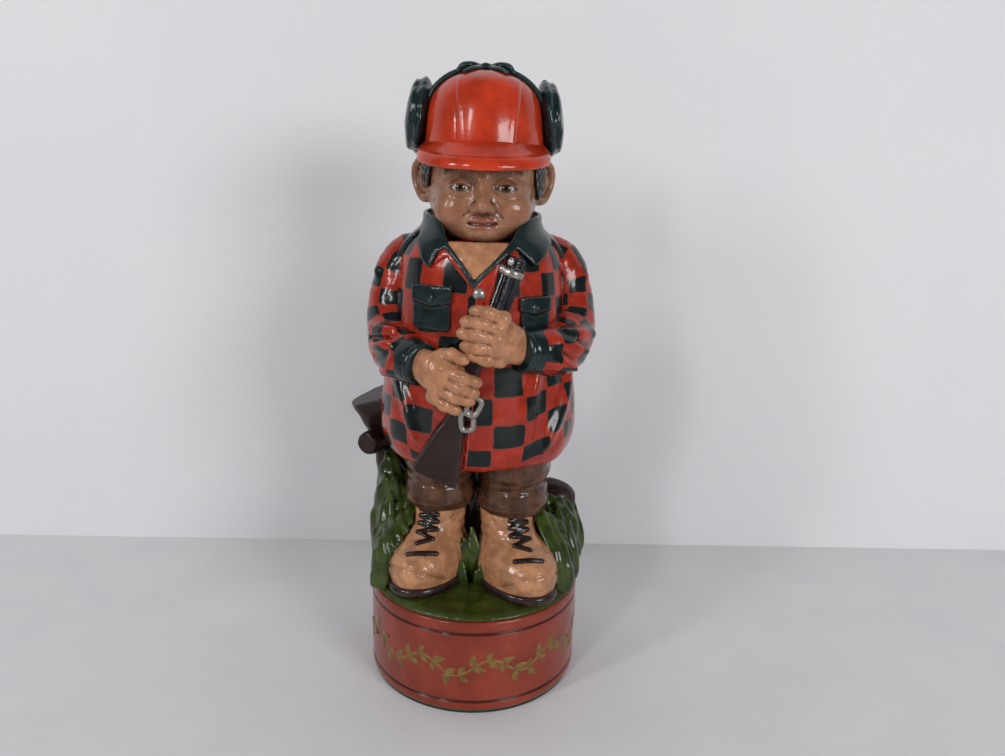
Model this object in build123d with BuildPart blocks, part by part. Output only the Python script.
"""Figural liquor decanter: a hunter in a checked coat, standing on a round drum.

Millimetres, +Z up.  The origin is the centre of the underside, where the felt
pad meets the table.  The figure looks towards -Y.  Left and right are those of
a person who looks at its face, so left is -X.

The vessel is the drum, the boots, the trousers and the hollow coat with its
arms.  The stopper is the head with its cap, on a cork that sits in the neck.
"""

import math
import os

from build123d import *

os.makedirs("parts", exist_ok=True)

# Fits and walls
wall = 4.0  # fired clay wall of every hollow piece
lift_gap = 0.6  # air between the lifting head and what it stands in
cork_gap = 0.2  # all round between the cork and the neck
seat_gap = 0.15  # all round between pieces that are set into each other
overrun = 2.0  # how far a cut runs past the face that it opens

# Drum and ground
pad_thickness = 1.5
pad_inset = 1.5
drum_radius = 60.5
drum_height = 56.5
drum_edge = 1.6  # rounding of the lower and upper outer edges
drum_floor = 4.0
groove_radius = 1.3
upper_groove_drop = 9.8
lower_groove_rise = 6.2
rim_width = 2.0
ground_thickness = 6.0
ledge_width = 2.5

# Boots
boot_height = 46.0
boot_reach = 43.0  # from the middle of the shaft to the toe
boot_half_width = 19.5
boot_splay = 11.0  # degrees that each toe points outwards
boot_spacing = 20.5  # from the middle of the object to the middle of a shaft
boot_setback = -7.0  # y of the middle of a shaft
sole_thickness = 5.5
sole_margin = 1.4
lace_radius = 1.25
lace_half_width = 5.6
lace_crossings = 7

# Trousers
leg_height = 29.0
leg_half_width = 19.0
leg_half_depth = 21.0
leg_spacing = 21.5
leg_overlap = 3.0  # how far a trouser leg comes down over its boot

# Coat
coat_height = 124.0
coat_half_width = 55.0
coat_half_depth = 46.5
hem_lip = 3.2
hem_depth = 6.0
well_floor_drop = 11.0  # from the top of the coat down to the floor round the neck
roof_thickness = 6.0
pocket_thickness = 1.5
flap_thickness = 2.6
placket_thickness = 1.2
skin_thickness = 0.9
snap_radius = 3.2
snap_height = 2.0

# Arms
sleeve_radius = 15.5
cuff_radius = 12.4
wrist_radius = 9.6
finger_radius = 3.6

# Rifle
rifle_length = 120.0
rifle_tilt = 18.4  # degrees that it leans to the right, seen from the front
rifle_lean = 3.0  # degrees that it leans back
stock_half_thickness = 6.5
stock_edge = 2.4
barrel_radius = 5.2
barrel_length = 38.0
flute_radius = 0.9
flute_count = 9
muzzle_bore = 2.6
muzzle_depth = 6.0
band_width = 4.6
band_stand = 1.1
sight_radius = 2.1
link_width = 9.2
link_height = 12.2
link_wire = 2.5

# Neck and cork
neck_radius = 16.0
neck_lip = 3.0
throat_radius = 10.0
throat_wall = 3.5
throat_depth = 26.0  # below the floor round the neck
cork_depth = 17.0  # of the cork inside the throat
cork_socket = 7.0  # of the cork inside the head

# Head and cap
head_height = 45.0
head_half_width = 30.5
head_half_depth = 33.0
head_setback = -5.0  # y of the middle of the head
head_floor = 9.0
ear_radius = 10.5
ear_thickness = 9.0
nose_radius = 4.6
hair_thickness = 1.7
crown_height = 40.0
crown_half_width = 30.5
crown_half_depth = 33.5
visor_reach = 52.0  # from the middle of the head to the front edge
visor_thickness = 3.4
visor_drop = 32.0  # degrees
flap_radius = 19.5
flap_pad = 15.0  # thickness of an ear flap
flap_cant = 8.0  # degrees that its top leans inwards
tie_half_width = 3.6
collar_height = 7.0  # above the top of the coat
collar_thickness = 2.2

# Stump, log and grass
stump_height = 104.0
stump_radius = 17.0
stump_cant = 20.0  # degrees of the sawn top
knot_radius = 6.5
log_radius = 13.5
log_length = 44.0
grass_height = 62.0
blade_half_width = 8.0

# Heights that follow from the pieces that stand on each other
ground_z = pad_thickness + drum_height
boot_top_z = ground_z + boot_height
hem_z = boot_top_z + leg_height
coat_floor_z = hem_z + hem_depth
coat_top_z = hem_z + coat_height
well_z = coat_top_z - well_floor_drop
neck_top_z = well_z + neck_lip
cap_z = neck_top_z + head_height
sides = (("left", -1), ("right", 1))


def ovals(rows, grow=0.0, plane=Plane.XY):
    """One smooth solid through level ovals: height, middle, half width, half depth."""
    with BuildPart() as form:
        for height, middle, half_width, half_depth in rows:
            with BuildSketch(plane.offset(height)):
                with Locations((0, middle)):
                    Ellipse(half_width + grow, half_depth + grow)
        loft()
    return form.part


def limb(stations, flat_share=1.0, broad=(0, 1, 0)):
    """One smooth solid along stations of a point and a half width, broad one way."""
    points = [Vector(*point) for point, half_width in stations]
    with BuildPart() as form:
        for index, (point, half_width) in enumerate(stations):
            before = points[max(index - 1, 0)]
            after = points[min(index + 1, len(points) - 1)]
            along = (after - before).normalized()
            across = Vector(*broad) - along * along.dot(Vector(*broad))
            with BuildSketch(Plane(points[index], x_dir=across.normalized(), z_dir=along)):
                Ellipse(half_width, half_width * flat_share)
        loft()
    return form.part


def pad(middle, radius, thickness, axis):
    """A round pad, crowned on both faces, that looks along an axis."""
    axis = Vector(*axis)
    side = Plane(origin=middle, x_dir=axis, z_dir=axis.cross(Vector(0, 0, 1)))
    half = thickness / 2
    shoulder = (0.42 * half, 0.906 * radius)
    flank = (0.82 * half, 0.574 * radius)
    with BuildPart() as form:
        with BuildSketch(side):
            with BuildLine():
                Line((-half, 0), (half, 0))
                ThreePointArc((half, 0), flank, shoulder)
                ThreePointArc(shoulder, (0, radius), (-shoulder[0], shoulder[1]))
                ThreePointArc((-shoulder[0], shoulder[1]), (-flank[0], flank[1]), (-half, 0))
            make_face()
        revolve(axis=Axis(middle, axis))
    return form.part


def front_prism(outline, reach, start=0.0):
    """A front-view outline of (x, z) points, carried forwards from y = start."""
    with BuildPart() as form:
        with BuildSketch(Plane(origin=(0, start, 0), x_dir=(1, 0, 0), z_dir=(0, -1, 0))):
            with BuildLine():
                Polyline(*outline, close=True)
            make_face()
        extrude(amount=reach)
    return form.part


def joined(*forms):
    """Several forms as one solid."""
    with BuildPart() as whole:
        for form in forms:
            add(form)
    return whole.part


def common(form, *others):
    """What a form shares with each of the others."""
    with BuildPart() as shared:
        add(form)
        for other in others:
            add(other, mode=Mode.INTERSECT)
    return shared.part


def piece(name, form, *neighbours):
    """Takes the neighbours out of a form, labels what is left and writes it."""
    with BuildPart() as finished:
        add(form)
        for neighbour in neighbours:
            add(neighbour, mode=Mode.SUBTRACT)
    finished.part.label = name
    export_step(finished.part, f"parts/{name}.step")
    return finished.part


def on_coat(x_share, y_share, z_share):
    """A point in shares of the coat's half width, half depth and height."""
    return (x_share * coat_half_width, y_share * coat_half_depth, hem_z + z_share * coat_height)


def coat_rows(shares, grow=0.0):
    """Ovals of the coat from shares: height, middle, half width and half depth."""
    return [
        (
            hem_z + height * coat_height,
            middle * coat_half_depth,
            half_width * coat_half_width + grow,
            half_depth * coat_half_depth + grow,
        )
        for height, middle, half_width, half_depth in shares
    ]


def on_head(x_share, y_share, z_share):
    """A point in shares of the head's half width, half depth and height."""
    return (
        x_share * head_half_width,
        head_setback + y_share * head_half_depth,
        neck_top_z + z_share * head_height,
    )


def head_rows(shares, grow=0.0):
    """Ovals of the head from shares: height, half width and half depth."""
    return [
        (
            neck_top_z + height * head_height,
            head_setback,
            half_width * head_half_width + grow,
            half_depth * head_half_depth + grow,
        )
        for height, half_width, half_depth in shares
    ]


# Felt pad under the drum
with BuildPart() as felt_pad:
    Cylinder(drum_radius - pad_inset, pad_thickness, align=(Align.CENTER, Align.CENTER, Align.MIN))
felt_pad.part.label = "felt_pad"
export_step(felt_pad.part, "parts/felt_pad.step")

# Drum: an open pot with two grooves round it and a ledge that carries the ground
ledge_radius = drum_radius - rim_width
chamber_radius = ledge_radius - ledge_width
ledge_z = ground_z - ground_thickness
with BuildPart() as base_drum:
    with Locations((0, 0, pad_thickness)):
        Cylinder(drum_radius, drum_height, align=(Align.CENTER, Align.CENTER, Align.MIN))
    fillet(base_drum.edges().filter_by(GeomType.CIRCLE), drum_edge)
    with BuildSketch(Plane.XZ):
        with Locations(
            (drum_radius, ground_z - upper_groove_drop),
            (drum_radius, pad_thickness + lower_groove_rise),
        ):
            Circle(groove_radius)
    revolve(axis=Axis.Z, mode=Mode.SUBTRACT)
    with Locations((0, 0, ledge_z)):
        Cylinder(
            ledge_radius,
            ground_thickness + overrun,
            align=(Align.CENTER, Align.CENTER, Align.MIN),
            mode=Mode.SUBTRACT,
        )
    with Locations((0, 0, pad_thickness + drum_floor)):
        Cylinder(
            chamber_radius,
            drum_height,
            align=(Align.CENTER, Align.CENTER, Align.MIN),
            mode=Mode.SUBTRACT,
        )
base_drum.part.label = "base_drum"
export_step(base_drum.part, "parts/base_drum.step")

# Ground: the green disc that closes the drum
with BuildPart() as ground:
    with Locations((0, 0, ledge_z)):
        Cylinder(
            ledge_radius - seat_gap,
            ground_thickness,
            align=(Align.CENTER, Align.CENTER, Align.MIN),
        )
    fillet(ground.edges().group_by(Axis.Z)[-1], drum_edge)
ground.part.label = "ground"
export_step(ground.part, "parts/ground.step")

# Boots: height, forward reach, backward reach and half width of level ovals
boot_shares = [
    (0.12, 0.95, 0.37, 0.95),
    (0.27, 1.00, 0.39, 1.00),
    (0.41, 0.97, 0.38, 0.98),
    (0.52, 0.84, 0.37, 0.90),
    (0.62, 0.62, 0.36, 0.82),
    (0.72, 0.48, 0.35, 0.77),
    (0.86, 0.40, 0.34, 0.73),
    (1.00, 0.38, 0.34, 0.74),
]


def boot_plane(side):
    """The ground under a shaft, turned so that its -Y points at the toe."""
    turned = Plane.XY.rotated((0, 0, side * boot_splay))
    return Plane(
        origin=(side * boot_spacing, boot_setback, ground_z),
        x_dir=turned.x_dir,
        z_dir=(0, 0, 1),
    )


boot_rows = [
    (
        height * boot_height,
        (back - front) / 2 * boot_reach,
        half_width * boot_half_width,
        (back + front) / 2 * boot_reach,
    )
    for height, front, back, half_width in boot_shares
]
boot_forms = {name: ovals(boot_rows, plane=boot_plane(side)) for name, side in sides}

# Trousers: height, middle, half width and half depth of each leg's ovals
leg_shares = [
    (0.00, 0.00, 0.90, 0.91),
    (0.06, 0.00, 0.97, 0.98),
    (0.24, 0.00, 0.99, 0.99),
    (0.34, 0.00, 0.90, 0.93),
    (0.50, 0.00, 0.96, 1.00),
    (0.75, -0.02, 1.12, 1.16),
    (1.00, -0.04, 1.30, 1.33),
]
leg_rise = leg_overlap + leg_height + hem_depth
leg_rows = [
    (height * leg_rise, middle * leg_half_depth, half_width * leg_half_width, half_depth * leg_half_depth)
    for height, middle, half_width, half_depth in leg_shares
]
leg_forms = [
    ovals(leg_rows, plane=Plane((side * leg_spacing, boot_setback, boot_top_z - leg_overlap)))
    for name, side in sides
]
trouser_form = joined(*leg_forms)

# Coat: height, middle, half width and half depth of its ovals
coat_shares = [
    (0.00, 0.00, 0.965, 0.955),
    (0.04, 0.00, 0.995, 0.990),
    (0.15, 0.00, 1.000, 1.000),
    (0.32, 0.00, 0.965, 0.985),
    (0.50, -0.01, 0.905, 0.960),
    (0.66, -0.03, 0.850, 0.930),
    (0.80, -0.06, 0.815, 0.890),
    (0.88, -0.09, 0.770, 0.830),
    (0.94, -0.11, 0.690, 0.740),
    (1.00, -0.11, 0.545, 0.650),
]
cavity_shares = coat_shares[1:8]
coat_form = ovals(coat_rows(coat_shares))
cavity_rows = coat_rows(cavity_shares, -wall)
cavity_rows[0] = (coat_floor_z + wall, *cavity_rows[0][1:])
cavity_rows[-1] = (well_z - roof_thickness, *cavity_rows[-1][1:])
cavity_form = ovals(cavity_rows)

# Head: height, half width and half depth of its ovals
head_shares = [
    (0.00, 0.56, 0.55),
    (0.11, 0.74, 0.73),
    (0.24, 0.85, 0.85),
    (0.40, 0.90, 0.92),
    (0.58, 0.94, 0.97),
    (0.80, 0.98, 1.00),
    (1.00, 0.98, 0.99),
]
head_form = ovals(head_rows(head_shares))
well_form = ovals(head_rows(head_shares[:4], lift_gap))

with BuildPart() as coat:
    add(coat_form)
    add(cavity_form, mode=Mode.SUBTRACT)
    add(well_form, mode=Mode.SUBTRACT)
    with Locations((0, head_setback, well_z)):
        Cylinder(
            neck_radius + wall,
            well_floor_drop,
            align=(Align.CENTER, Align.CENTER, Align.MIN),
            mode=Mode.SUBTRACT,
        )
        Cylinder(
            throat_radius + throat_wall + seat_gap,
            2 * (roof_thickness + overrun),
            mode=Mode.SUBTRACT,
        )
    with BuildSketch(Plane.XY.offset(hem_z)):
        Ellipse(coat_half_width - 2 * hem_lip, coat_half_depth - 2 * hem_lip)
    extrude(amount=hem_depth, mode=Mode.SUBTRACT)
coat.part.label = "coat"
export_step(coat.part, "parts/coat.step")

# Neck: a tube through the roof of the coat with a lip that the head rests on
with BuildPart() as neck:
    with Locations((0, head_setback, well_z)):
        Cylinder(neck_radius, neck_lip, align=(Align.CENTER, Align.CENTER, Align.MIN))
        Cylinder(
            throat_radius + throat_wall,
            throat_depth,
            align=(Align.CENTER, Align.CENTER, Align.MAX),
        )
        Cylinder(throat_radius, 2 * (throat_depth + neck_lip), mode=Mode.SUBTRACT)
neck.part.label = "neck"
export_step(neck.part, "parts/neck.step")

trousers = piece("trousers", trouser_form, coat.part, *boot_forms.values())

# Boots, their soles and their laces
boot_reach_at = [(height * boot_height, front * boot_reach) for height, front, back, width in boot_shares]


def toe_side(height):
    """How far the front of a boot stands out from its shaft's middle at a height."""
    for (low, near), (high, far) in zip(boot_reach_at, boot_reach_at[1:]):
        if height <= high:
            return near + (far - near) * (height - low) / (high - low)
    return boot_reach_at[-1][1]


sole_forms = {}
lace_low_share = 0.50
lace_high_share = 0.90
for name, side in sides:
    plane = boot_plane(side)
    with BuildPart() as sole:
        with BuildSketch(plane):
            with Locations((0, boot_rows[1][1])):
                Ellipse(boot_rows[1][2] + sole_margin, boot_rows[1][3] + sole_margin)
        extrude(amount=sole_thickness)
        fillet(sole.edges(), sole_margin)
    sole_forms[name] = sole.part
    piece(f"sole_{name}", sole.part)

    lace_points = []
    for crossing in range(lace_crossings):
        climb = crossing / (lace_crossings - 1)
        height = (lace_low_share + (lace_high_share - lace_low_share) * climb) * boot_height
        across = lace_half_width * (1 if crossing % 2 else -1)
        stand = toe_side(height) - 0.06 * boot_half_width
        lace_points.append(plane.from_local_coords(Vector(across, -stand, height)))
    with BuildPart() as laces:
        for start, end in zip(lace_points, lace_points[1:]):
            reach = (end - start).normalized() * lace_radius
            with BuildSketch(Plane(start - reach, z_dir=end - start)):
                Circle(lace_radius)
            extrude(amount=(end - start).length + 2 * lace_radius)
    piece(f"laces_{name}", laces.part, boot_forms[name])

    with BuildPart() as shoe:
        add(boot_forms[name])
        with BuildSketch(plane):
            Rectangle(4 * boot_reach, 4 * boot_reach)
        extrude(amount=sole_thickness, mode=Mode.SUBTRACT)
    piece(f"boot_{name}", shoe.part)

# Sleeves: stations of x, y, z and half width, from the shoulder to the wrist
sleeve_shares = {
    "left": [
        (-0.55, 0.06, 0.863, 0.84),
        (-0.72, 0.06, 0.823, 1.00),
        (-0.82, 0.02, 0.694, 1.00),
        (-0.84, -0.10, 0.573, 1.00),
        (-0.80, -0.37, 0.490, 0.96),
        (-0.70, -0.66, 0.466, 0.86),
        (-0.62, -0.80, 0.460, 0.76),
    ],
    "right": [
        (0.55, 0.06, 0.870, 0.84),
        (0.74, 0.06, 0.827, 1.00),
        (0.84, 0.02, 0.694, 1.00),
        (0.85, -0.17, 0.565, 1.02),
        (0.77, -0.50, 0.510, 0.96),
        (0.64, -0.75, 0.512, 0.86),
        (0.54, -0.86, 0.516, 0.76),
    ],
}
# Folds bunched round the elbows: each a short ridge along the cloth
fold_shares = {
    "left": [
        [(-1.018, -0.301, 0.653, 0.15), (-0.900, -0.462, 0.637, 0.22), (-0.782, -0.516, 0.621, 0.14)],
        [(-1.036, -0.409, 0.565, 0.16), (-0.918, -0.613, 0.573, 0.23), (-0.800, -0.710, 0.581, 0.14)],
        [(-1.000, -0.602, 0.500, 0.13), (-0.918, -0.785, 0.516, 0.19), (-0.836, -0.860, 0.532, 0.12)],
    ],
    "right": [
        [(1.054, -0.344, 0.653, 0.15), (0.936, -0.516, 0.645, 0.22), (0.818, -0.581, 0.637, 0.14)],
        [(1.091, -0.430, 0.565, 0.16), (0.946, -0.677, 0.581, 0.23), (0.800, -0.817, 0.597, 0.14)],
        [(1.018, -0.688, 0.508, 0.13), (0.873, -0.871, 0.536, 0.19), (0.727, -0.946, 0.565, 0.12)],
    ],
}
cuff_shares = {
    "left": [(-0.66, -0.74, 0.462, 1.08), (-0.60, -0.84, 0.458, 1.02), (-0.51, -0.96, 0.452, 0.90)],
    "right": [(0.57, -0.82, 0.514, 1.08), (0.48, -0.90, 0.518, 1.02), (0.36, -0.99, 0.522, 0.93)],
}
palm_shares = {
    "left": [(-0.60, -0.86, 0.458, 0.86), (-0.48, -1.02, 0.448, 1.00), (-0.36, -1.10, 0.430, 1.14),
             (-0.25, -1.14, 0.405, 1.05), (-0.19, -1.12, 0.395, 0.70)],
    "right": [(0.45, -0.92, 0.520, 0.86), (0.32, -1.02, 0.545, 1.02), (0.22, -1.10, 0.565, 1.18),
              (0.11, -1.14, 0.578, 1.08), (0.05, -1.13, 0.585, 0.70)],
}
# Each finger: the knuckle, the bend and the tip
finger_shares = {
    "left": [
        [(-0.31, -1.20, 0.455), (-0.16, -1.27, 0.432), (-0.03, -1.20, 0.407)],
        [(-0.33, -1.21, 0.418), (-0.17, -1.28, 0.390), (-0.05, -1.20, 0.366)],
        [(-0.36, -1.19, 0.379), (-0.21, -1.25, 0.350), (-0.09, -1.18, 0.329)],
        [(-0.40, -1.15, 0.342), (-0.30, -1.20, 0.312), (-0.21, -1.15, 0.288)],
        [(-0.33, -1.08, 0.500), (-0.25, -1.17, 0.516), (-0.15, -1.20, 0.498)],
    ],
    "right": [
        [(0.20, -1.21, 0.662), (0.07, -1.27, 0.688), (-0.04, -1.19, 0.690)],
        [(0.17, -1.22, 0.622), (0.01, -1.29, 0.647), (-0.12, -1.19, 0.648)],
        [(0.15, -1.22, 0.581), (-0.02, -1.29, 0.602), (-0.15, -1.19, 0.601)],
        [(0.14, -1.21, 0.540), (-0.01, -1.27, 0.552), (-0.12, -1.18, 0.550)],
        [(0.18, -1.14, 0.495), (0.06, -1.22, 0.500), (-0.06, -1.19, 0.515)],
    ],
}


def stations(shares, radius):
    """Points on the coat with half widths in shares of a radius."""
    return [(on_coat(x, y, z), share * radius) for x, y, z, share in shares]


def finger(joints):
    """A finger over its knuckle, bend and rounded tip."""
    knuckle, bend, tip = (Vector(*on_coat(*joint)) for joint in joints)
    beyond = tip + (tip - bend).normalized() * finger_radius * 0.6
    return limb(
        [
            (tuple(knuckle), finger_radius * 1.05),
            (tuple(bend), finger_radius),
            (tuple(tip), finger_radius * 0.88),
            (tuple(beyond), finger_radius * 0.45),
        ],
        broad=(0, 0, 1),
    )


sleeve_forms = {
    name: joined(
        limb(stations(sleeve_shares[name], sleeve_radius), broad=(0.3 * side, 1, 0.1)),
        *[limb(stations(fold, sleeve_radius), broad=(0, 0, 1)) for fold in fold_shares[name]],
    )
    for name, side in sides
}
cuff_forms = {
    name: limb(stations(cuff_shares[name], cuff_radius), broad=(0, 0, 1))
    for name, side in sides
}
hand_forms = {
    name: joined(
        limb(stations(palm_shares[name], wrist_radius), flat_share=0.62, broad=(0, 0, 1)),
        *[finger(joints) for joints in finger_shares[name]],
    )
    for name, side in sides
}

# Rifle: a frame with +Y along it from the butt to the muzzle and +Z to the front
tilt = math.radians(rifle_tilt)
lean = math.radians(rifle_lean)
rifle_axis = Vector(math.sin(tilt), math.sin(lean) * math.cos(tilt), math.cos(lean) * math.cos(tilt))
rifle_across = Vector(math.cos(tilt), 0, -math.sin(tilt)).normalized()
rifle_plane = Plane(
    origin=on_coat(-0.405, -1.01, -0.02),
    x_dir=rifle_across,
    z_dir=rifle_across.cross(rifle_axis),
)
stock_right_shares = [(0.104, -0.010), (0.082, 0.14), (0.034, 0.33), (0.030, 0.50), (0.062, 0.70)]
stock_left_shares = [(-0.040, 0.70), (-0.072, 0.46), (-0.036, 0.30)]
comb_shares = [(-0.058, 0.215), (-0.104, 0.012)]
with BuildPart() as stock:
    with BuildSketch(rifle_plane.offset(-stock_half_thickness)):
        with BuildLine():
            right = Spline(*[(x * rifle_length, y * rifle_length) for x, y in stock_right_shares])
            left = Spline(*[(x * rifle_length, y * rifle_length) for x, y in stock_left_shares])
            Line(right @ 1, left @ 0)
            corners = [(x * rifle_length, y * rifle_length) for x, y in comb_shares]
            Polyline(left @ 1, *corners, right @ 0)
        make_face()
    extrude(amount=2 * stock_half_thickness)
    fillet(stock.edges(), stock_edge)

barrel_start = rifle_length - barrel_length
barrel_plane = rifle_plane.shift_origin(rifle_plane.from_local_coords((0.018 * rifle_length, 0, 0)))
with BuildPart() as barrel:
    with BuildSketch(Plane(barrel_plane.origin + rifle_axis * barrel_start, z_dir=rifle_axis)):
        Circle(barrel_radius)
        with PolarLocations(barrel_radius, flute_count):
            Circle(flute_radius, mode=Mode.SUBTRACT)
    extrude(amount=barrel_length)
muzzle = barrel_plane.origin + rifle_axis * rifle_length
with BuildPart() as bore:
    with BuildSketch(Plane(muzzle, z_dir=rifle_axis)):
        Circle(muzzle_bore)
    extrude(amount=-muzzle_depth)
band_start_share = 0.72  # of the barrel's length
with BuildPart() as band:
    with BuildSketch(Plane(muzzle - rifle_axis * (1 - band_start_share) * barrel_length, z_dir=rifle_axis)):
        Circle(barrel_radius + band_stand)
    extrude(amount=band_width)
    fillet(band.edges(), band_stand / 2)

# Sling links: two rounded rings, the upper one tipped
link_shares = [(-0.10, -1.12, 0.240, 4), (-0.012, -1.14, 0.302, -28)]
link_rings = []
for x, y, z, turn in link_shares:
    face_on = Plane(origin=on_coat(x, y, z), x_dir=(1, 0, 0), z_dir=(0, -1, 0)).rotated((0, 0, turn))
    with BuildPart() as ring:
        with BuildSketch(face_on.offset(-link_wire / 2)):
            RectangleRounded(link_width, link_height, 0.4 * link_width)
            RectangleRounded(
                link_width - 2 * link_wire,
                link_height - 2 * link_wire,
                0.4 * (link_width - 2 * link_wire),
                mode=Mode.SUBTRACT,
            )
        extrude(amount=link_wire)
        fillet(ring.edges(), 0.3 * link_wire)
    link_rings.append(ring.part)

# Surface pieces of the coat: each an outline of x and z shares, seen from the front
placket_shares = [(-0.065, 0.775), (-0.038, 0.65), (-0.110, 0.19), (-0.175, -0.02), (-0.045, -0.02),
                   (-0.018, 0.19), (0.053, 0.60), (0.080, 0.72), (0.060, 0.800), (-0.030, 0.800)]
pocket_shares = {"left": (-0.61, -0.225, 0.590, 0.765), "right": (0.385, 0.735, 0.580, 0.735)}
throat_shares = [(-0.330, 1.02), (-0.330, 0.955), (-0.065, 0.808), (0.225, 0.955), (0.225, 1.02)]


def front_outline(shares):
    """Front-view points on the coat from shares of its half width and its height."""
    return [(x * coat_half_width, hem_z + z * coat_height) for x, z in shares]


def surface_piece(outline_shares, thickness):
    """A layer on the front of the coat with an outline."""
    prism = front_prism(front_outline(outline_shares), 2 * coat_half_depth)
    return common(ovals(coat_rows(coat_shares, thickness)), prism)


placket_form = surface_piece(placket_shares, placket_thickness)
throat_form = surface_piece(throat_shares, skin_thickness)
pocket_forms = {}
for name, (inner, outer, low, high) in pocket_shares.items():
    middle_share = 0.5 * (inner + outer)
    split_share = high - 0.32 * (high - low)
    edge_share = 0.012
    bag = [(inner, low + edge_share), (inner + edge_share, low), (outer - edge_share, low),
           (outer, low + edge_share), (outer, high), (inner, high)]
    flap = [(inner, split_share + edge_share), (middle_share, split_share - edge_share),
            (outer, split_share + edge_share), (outer, high), (inner, high)]
    pocket_forms[name] = joined(
        surface_piece(bag, pocket_thickness), surface_piece(flap, flap_thickness)
    )

# Collar: it hugs the shoulders, stands up round the head and opens in a V
collar_rows = coat_rows(coat_shares[5:], collar_thickness)
collar_rows.append(
    (
        coat_top_z + collar_height,
        head_setback,
        0.885 * head_half_width + lift_gap + collar_thickness,
        0.890 * head_half_depth + lift_gap + collar_thickness,
    )
)
wing_shares = [(-0.065, 0.825), (-0.300, 0.945), (-0.300, 1.10), (-0.75, 1.10), (-0.75, 0.955),
               (-0.560, 0.930), (-0.500, 0.870), (-0.440, 0.835), (-0.345, 0.905), (-0.215, 0.850),
               (-0.065, 0.780)]
with BuildPart() as collar_reach:
    for side in (-1, 1):
        outline = [(x if side < 0 or x == -0.065 else -x, z) for x, z in wing_shares]
        add(front_prism(front_outline(outline), 2 * coat_half_depth))
    with BuildSketch(Plane.YZ.offset(-2 * coat_half_width)):
        with BuildLine():
            Polyline(
                (0, hem_z + 0.955 * coat_height),
                (0, coat_top_z + 2 * collar_height),
                (2 * coat_half_depth, coat_top_z + 2 * collar_height),
                (2 * coat_half_depth, hem_z + 0.91 * coat_height),
                close=True,
            )
        make_face()
    extrude(amount=4 * coat_half_width)
head_clearance = ovals(head_rows(head_shares, lift_gap))
collar_form = common(ovals(collar_rows), collar_reach.part)

# Pieces on the front of the coat, each cut by what lies under it
stock_form = stock.part
rifle_forms = (stock_form, barrel.part, band.part)
chest = (coat_form, placket_form)
piece("rifle_stock", stock_form, *chest, barrel.part)
piece("rifle_barrel", barrel.part, *chest, bore.part)
piece("barrel_band", band.part, *chest, barrel.part)
sight_up = (rifle_plane.z_dir * 0.9 - rifle_across * 0.6).normalized()
sight_foot = muzzle - rifle_axis * 1.6 * sight_radius
with BuildPart() as sight:
    with BuildSketch(Plane(sight_foot + sight_up * 0.8 * barrel_radius, z_dir=sight_up)):
        Circle(sight_radius)
    extrude(amount=0.2 * barrel_radius + 1.3 * sight_radius)
    fillet(sight.edges().sort_by(Axis(sight_foot, sight_up))[-1], 0.5 * sight_radius)
with BuildPart() as barrel_round:
    with BuildSketch(Plane(barrel_plane.origin + rifle_axis * barrel_start, z_dir=rifle_axis)):
        Circle(barrel_radius)
    extrude(amount=barrel_length)
piece("front_sight", sight.part, barrel_round.part)
piece("sling_links", joined(*link_rings), *chest, stock_form, hand_forms["left"])
for name, side in sides:
    piece(f"sleeve_{name}", sleeve_forms[name], coat_form)
    piece(f"cuff_{name}", cuff_forms[name], coat_form, sleeve_forms[name], hand_forms[name], *rifle_forms)
    piece(f"hand_{name}", hand_forms[name], *chest, sleeve_forms[name], *rifle_forms)
    piece(f"pocket_{name}", pocket_forms[name], coat_form, *rifle_forms, *hand_forms.values(),
          sleeve_forms[name], cuff_forms[name])
piece("placket", placket_form, coat_form)
piece("throat_skin", throat_form, coat_form, placket_form, head_clearance, collar_form)
piece("collar", collar_form, coat_form, head_clearance, *rifle_forms, *sleeve_forms.values(), placket_form)

# Snap at the foot of the V
snap_shares = (-0.016, -0.985, 0.745)
with BuildPart() as snap:
    with BuildSketch(Plane(origin=on_coat(*snap_shares), x_dir=(1, 0, 0), z_dir=(0, -1, 0))):
        Circle(snap_radius)
    extrude(amount=2 * snap_height, both=True)
    fillet(snap.edges(), 0.8 * snap_height)
piece("coat_snap", snap.part, coat_form, placket_form)

# Head: hollow, with ears, a plain nose and a socket for the cork in its floor
ear_middle_share = (0.99, 0.06, 0.69)
ear_turn = math.radians(38)
nose_shares = [(-0.955, 0.68, 0.40), (-1.03, 0.52, 0.64), (-1.10, 0.40, 0.94), (-1.04, 0.33, 0.50)]
nose_form = limb([(on_head(0, y, z), share * nose_radius) for y, z, share in nose_shares], broad=(1, 0, 0))
ear_forms = []
ear_dishes = []
for name, side in sides:
    outward = (side * math.cos(ear_turn), -math.sin(ear_turn), 0)
    middle = Vector(*on_head(side * ear_middle_share[0], *ear_middle_share[1:]))
    ear_forms.append(pad(tuple(middle), ear_radius, ear_thickness, outward))
    dish_middle = middle + Vector(*outward) * 0.5 * ear_thickness
    ear_dishes.append(pad(tuple(dish_middle), 0.68 * ear_radius, 0.55 * ear_thickness, outward))
cupped_ears = []
for ear, dish in zip(ear_forms, ear_dishes):
    with BuildPart() as cupped_ear:
        add(ear)
        add(dish, mode=Mode.SUBTRACT)
    cupped_ears.append(cupped_ear.part)
hollow_rows = head_rows(head_shares[2:], -wall)
hollow_rows[0] = (neck_top_z + head_floor, *hollow_rows[0][1:])
hollow_rows[-1] = (cap_z + overrun, *hollow_rows[-1][1:])
cork_radius = throat_radius - cork_gap
with BuildPart() as head:
    add(head_form)
    add(ovals(hollow_rows), mode=Mode.SUBTRACT)
    with Locations((0, head_setback, neck_top_z)):
        Cylinder(cork_radius + seat_gap, 2 * cork_socket, mode=Mode.SUBTRACT)
    for cupped_ear in cupped_ears:
        add(cupped_ear)
    add(nose_form)
head.part.label = "head"
export_step(head.part, "parts/head.step")

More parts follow.
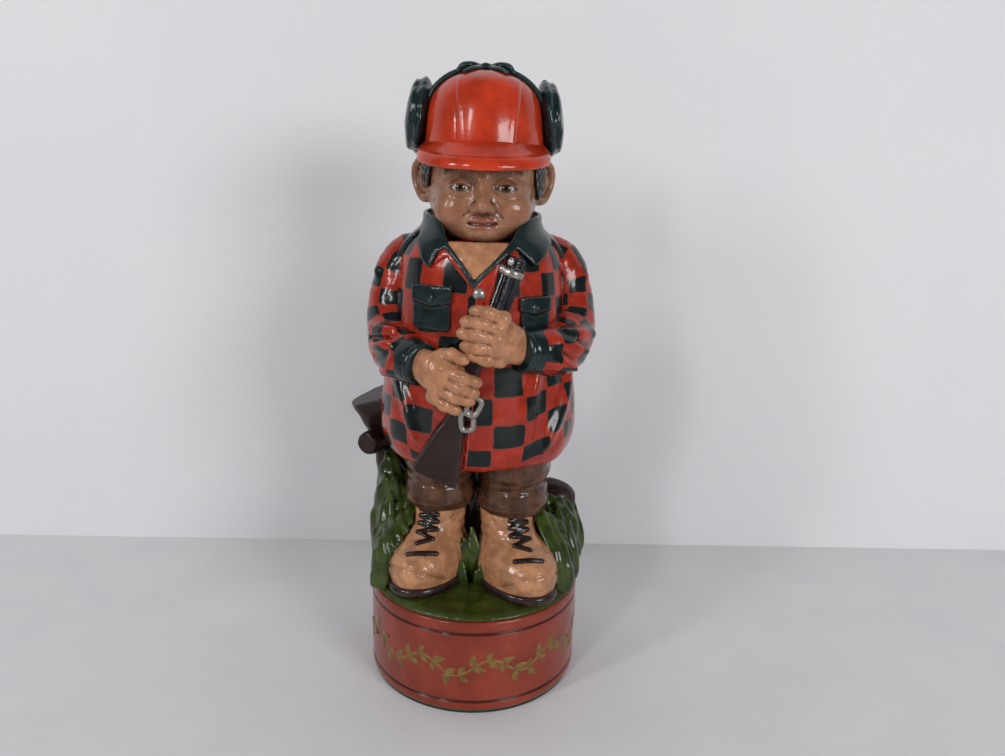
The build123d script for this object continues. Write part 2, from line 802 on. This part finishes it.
with BuildPart() as cork:
    with Locations((0, head_setback, neck_top_z - cork_depth)):
        Cylinder(
            cork_radius,
            cork_depth + cork_socket,
            align=(Align.CENTER, Align.CENTER, Align.MIN),
        )
    chamfer(cork.edges().sort_by(Axis.Z)[0], cork_gap * 4)
cork.part.label = "cork"
export_step(cork.part, "parts/cork.step")

# Cap: a hollow crown, a visor, two ear flaps and their ties
crown_shares = [
    (0.00, 0.985, 0.985),
    (0.12, 1.00, 1.00),
    (0.30, 0.985, 0.985),
    (0.50, 0.93, 0.935),
    (0.68, 0.81, 0.83),
    (0.83, 0.62, 0.65),
    (0.94, 0.39, 0.42),
    (1.00, 0.18, 0.20),
]


def crown_rows(shares, grow=0.0):
    """Ovals of the cap from shares: height, half width and half depth."""
    return [
        (
            cap_z + height * crown_height,
            head_setback,
            half_width * crown_half_width + grow,
            half_depth * crown_half_depth + grow,
        )
        for height, half_width, half_depth in shares
    ]


crown_form = ovals(crown_rows(crown_shares))
crown_hollow_rows = crown_rows(crown_shares[:6], -wall)
crown_hollow_rows[0] = (cap_z - overrun, *crown_hollow_rows[0][1:])
with BuildPart() as cap_crown:
    add(crown_form)
    add(ovals(crown_hollow_rows), mode=Mode.SUBTRACT)
cap_crown.part.label = "cap_crown"
export_step(cap_crown.part, "parts/cap_crown.step")

hinge_share = 0.70  # of the head's half depth, where the visor meets the brow
drop = math.radians(visor_drop)
visor_run = (visor_reach - hinge_share * head_half_depth) / math.cos(drop)
visor_plane = Plane(
    origin=(0, head_setback - hinge_share * head_half_depth, cap_z + 0.10 * crown_height),
    x_dir=(1, 0, 0),
    z_dir=(0, -math.sin(drop), math.cos(drop)),
)
with BuildPart() as visor:
    with BuildSketch(visor_plane):
        Ellipse(1.06 * crown_half_width, visor_run)
    extrude(amount=visor_thickness / 2, both=True)
    fillet(visor.edges(), 0.4 * visor_thickness)
    with BuildSketch(Plane.XY.offset(cap_z + crown_height)):
        with Locations((0, visor_plane.origin.Y + 0.10 * crown_half_depth)):
            Rectangle(4 * crown_half_width, 4 * crown_half_depth, align=(Align.CENTER, Align.MIN))
    extrude(amount=-2 * crown_height, mode=Mode.SUBTRACT)

hair_shares = [(-0.34, 0.70), (-0.34, 0.46), (-0.14, 0.46), (-0.14, 0.62), (0.30, 0.62),
                (0.34, 0.42), (0.60, 0.36), (1.20, 0.36), (1.20, 1.00), (-0.34, 1.00)]
with BuildPart() as hair_reach:
    with BuildSketch(Plane.YZ.offset(-2 * head_half_width)):
        with BuildLine():
            Polyline(*[on_head(0, y, z)[1:] for y, z in hair_shares], close=True)
        make_face()
    extrude(amount=4 * head_half_width)
hair_form = common(ovals(head_rows(head_shares, hair_thickness)), hair_reach.part)

cant = math.radians(flap_cant)
flap_forms = {}
for name, side in sides:
    flap_middle = (
        side * (crown_half_width + 0.19 * flap_pad),
        head_setback + 0.20 * crown_half_depth,
        cap_z + 0.46 * crown_height,
    )
    flap_axis = (side * math.cos(cant), 0, math.sin(cant))
    flap_forms[name] = pad(flap_middle, flap_radius, flap_pad, flap_axis)

tie_shares = [(0.96, -0.10, 0.46), (0.89, -0.10, 0.64), (0.72, -0.10, 0.81), (0.46, -0.10, 0.945),
              (0.14, -0.10, 1.015)]
loop_shares = [(0.05, -0.11, 1.04, 0.55), (0.26, -0.13, 1.075, 0.95), (0.42, -0.14, 1.04, 0.70),
               (0.50, -0.15, 1.00, 0.30)]
tail_shares = [(0.04, -0.14, 1.03, 0.40), (0.24, -0.24, 0.985, 0.42), (0.36, -0.36, 0.90, 0.22)]


def on_cap(x_share, y_share, z_share):
    """A point in shares of the cap's half width, half depth and height."""
    return (
        x_share * crown_half_width,
        head_setback + y_share * crown_half_depth,
        cap_z + z_share * crown_height,
    )


tie_forms = []
for name, side in sides:
    band_stations = [(on_cap(side * x, y, z), tie_half_width) for x, y, z in tie_shares]
    tie_forms.append(limb(band_stations, flat_share=0.42))
    for shares in (loop_shares, tail_shares):
        bow_stations = [(on_cap(side * x, y, z), share * tie_half_width) for x, y, z, share in shares]
        tie_forms.append(limb(bow_stations, flat_share=0.60))
with BuildPart() as knot_of_bow:
    with Locations(on_cap(0, -0.12, 1.03)):
        Sphere(0.62 * tie_half_width)
tie_form = joined(*tie_forms, knot_of_bow.part)

piece("cap_visor", visor.part, head_form, crown_form)
piece("hair", hair_form, head_form, *ear_forms, visor.part)
for name, side in sides:
    piece(f"earflap_{name}", flap_forms[name], crown_form, head_form, visor.part, hair_form, *ear_forms)
piece("cap_ties", tie_form, crown_form, *flap_forms.values())

# Stump: a trunk that leans against the coat, flared and sawn at a slant
stump_shares = [
    (-0.60, 0.41, 0.00, 0.85),
    (-0.60, 0.41, 0.10, 0.85),
    (-0.68, 0.41, 0.30, 0.92),
    (-0.76, 0.42, 0.50, 0.88),
    (-0.84, 0.42, 0.70, 0.80),
    (-0.90, 0.42, 0.84, 0.98),
    (-0.97, 0.40, 1.00, 1.35),
]


def on_ground(x_share, y_share, z_share, height):
    """A point in shares of the drum's radius and of a height above the ground."""
    return (x_share * drum_radius, y_share * drum_radius, ground_z + z_share * height)


stump_form = limb(
    [(on_ground(x, y, z, stump_height), share * stump_radius) for x, y, z, share in stump_shares]
)
saw_tilt = math.radians(stump_cant)
saw_plane = Plane(
    origin=on_ground(-1.235, 0.40, 0.895, stump_height),
    x_dir=(0, 1, 0),
    z_dir=(-math.sin(saw_tilt), 0, math.cos(saw_tilt)),
)
with BuildPart() as stump:
    add(stump_form)
    with BuildSketch(saw_plane):
        Rectangle(8 * stump_radius, 8 * stump_radius)
    extrude(amount=stump_height, mode=Mode.SUBTRACT)
knot_shares = [(-0.86, 0.36, 0.68, 1.0), (-0.97, 0.22, 0.70, 0.95), (-1.04, 0.12, 0.705, 1.1)]
knot_form = limb(
    [(on_ground(x, y, z, stump_height), share * knot_radius) for x, y, z, share in knot_shares],
    broad=(0, 0, 1),
)
log_shares = [(0.42, 0.52, 0.00, 0.85), (0.42, 0.52, 0.22, 0.90), (0.60, 0.42, 0.58, 1.00),
              (0.78, 0.34, 0.74, 1.00), (0.92, 0.28, 0.80, 0.90)]
log_form = limb([(on_ground(x, y, z, log_length), share * log_radius) for x, y, z, share in log_shares])
standing = (*boot_forms.values(), trouser_form, coat_form)
piece("stump", stump.part, *standing)
piece("branch_knot", knot_form, stump_form, coat_form)
piece("log", log_form, *standing)

# Grass: a low tuft for each clump, and blades of a root, a belly and a tip on it, in
# shares of the drum's radius and of the grass's height
tuft_shares = {
    "left": (-0.76, -0.10, 0.13, 0.42, 0.13),
    "right": (0.76, -0.16, 0.10, 0.34, 0.10),
    "centre": (0.02, -0.42, 0.20, 0.10, 0.10),
}
blade_shares = {
    "left": [
        ((-0.80, 0.12), (-1.00, 0.14, 0.45), (-0.90, 0.24, 0.98), 1.0),
        ((-0.84, -0.12), (-1.02, -0.10, 0.32), (-0.94, 0.02, 0.68), 1.0),
        ((-0.72, -0.38), (-0.80, -0.30, 0.40), (-0.68, -0.16, 0.80), 1.0),
        ((-0.68, -0.04), (-0.78, -0.02, 0.45), (-0.66, 0.10, 0.92), 0.9),
        ((-0.82, -0.28), (-0.95, -0.26, 0.22), (-0.92, -0.20, 0.46), 0.8),
    ],
    "right": [
        ((0.84, 0.04), (0.99, 0.06, 0.26), (0.98, 0.14, 0.54), 1.0),
        ((0.80, -0.36), (0.84, -0.26, 0.36), (0.68, -0.20, 0.74), 1.0),
        ((0.86, -0.18), (0.96, -0.14, 0.24), (0.88, -0.04, 0.50), 1.0),
        ((0.76, 0.10), (0.84, 0.12, 0.32), (0.80, 0.18, 0.62), 0.9),
    ],
    "centre": [
        ((-0.07, -0.40), (-0.07, -0.37, 0.24), (-0.10, -0.34, 0.50), 0.55),
        ((0.01, -0.39), (0.02, -0.34, 0.28), (0.00, -0.30, 0.56), 0.65),
        ((0.09, -0.40), (0.10, -0.38, 0.26), (0.12, -0.34, 0.52), 0.45),
        ((0.14, -0.45), (0.17, -0.46, 0.16), (0.22, -0.44, 0.34), 0.40),
        ((-0.12, -0.45), (-0.14, -0.46, 0.14), (-0.17, -0.45, 0.28), 0.40),
    ],
}
with BuildPart() as underground:
    with Locations((0, 0, ground_z)):
        Cylinder(2 * drum_radius, drum_height, align=(Align.CENTER, Align.CENTER, Align.MAX))
for name, blades in blade_shares.items():
    x, y, half_width, half_depth, rise = tuft_shares[name]
    with BuildPart() as clump:
        with BuildSketch(Plane(on_ground(x, y, -0.02, grass_height))):
            Ellipse(half_width * drum_radius, half_depth * drum_radius)
        extrude(amount=rise * grass_height, taper=20)
    for root, belly, tip, broad_share in blades:
        half_width = broad_share * blade_half_width
        blade = limb(
            [
                (on_ground(*root, -0.02, grass_height), half_width),
                (on_ground(*root, 0.08, grass_height), half_width),
                (on_ground(*belly, grass_height), 0.85 * half_width),
                (on_ground(*tip, grass_height), 0.22 * half_width),
            ],
            flat_share=0.65,
            broad=(1, 0.5 * root[0], 0.1),
        )
        with clump:
            add(blade)
    piece(f"grass_{name}", clump.part, underground.part, *standing, *sole_forms.values(),
          stump_form, log_form)
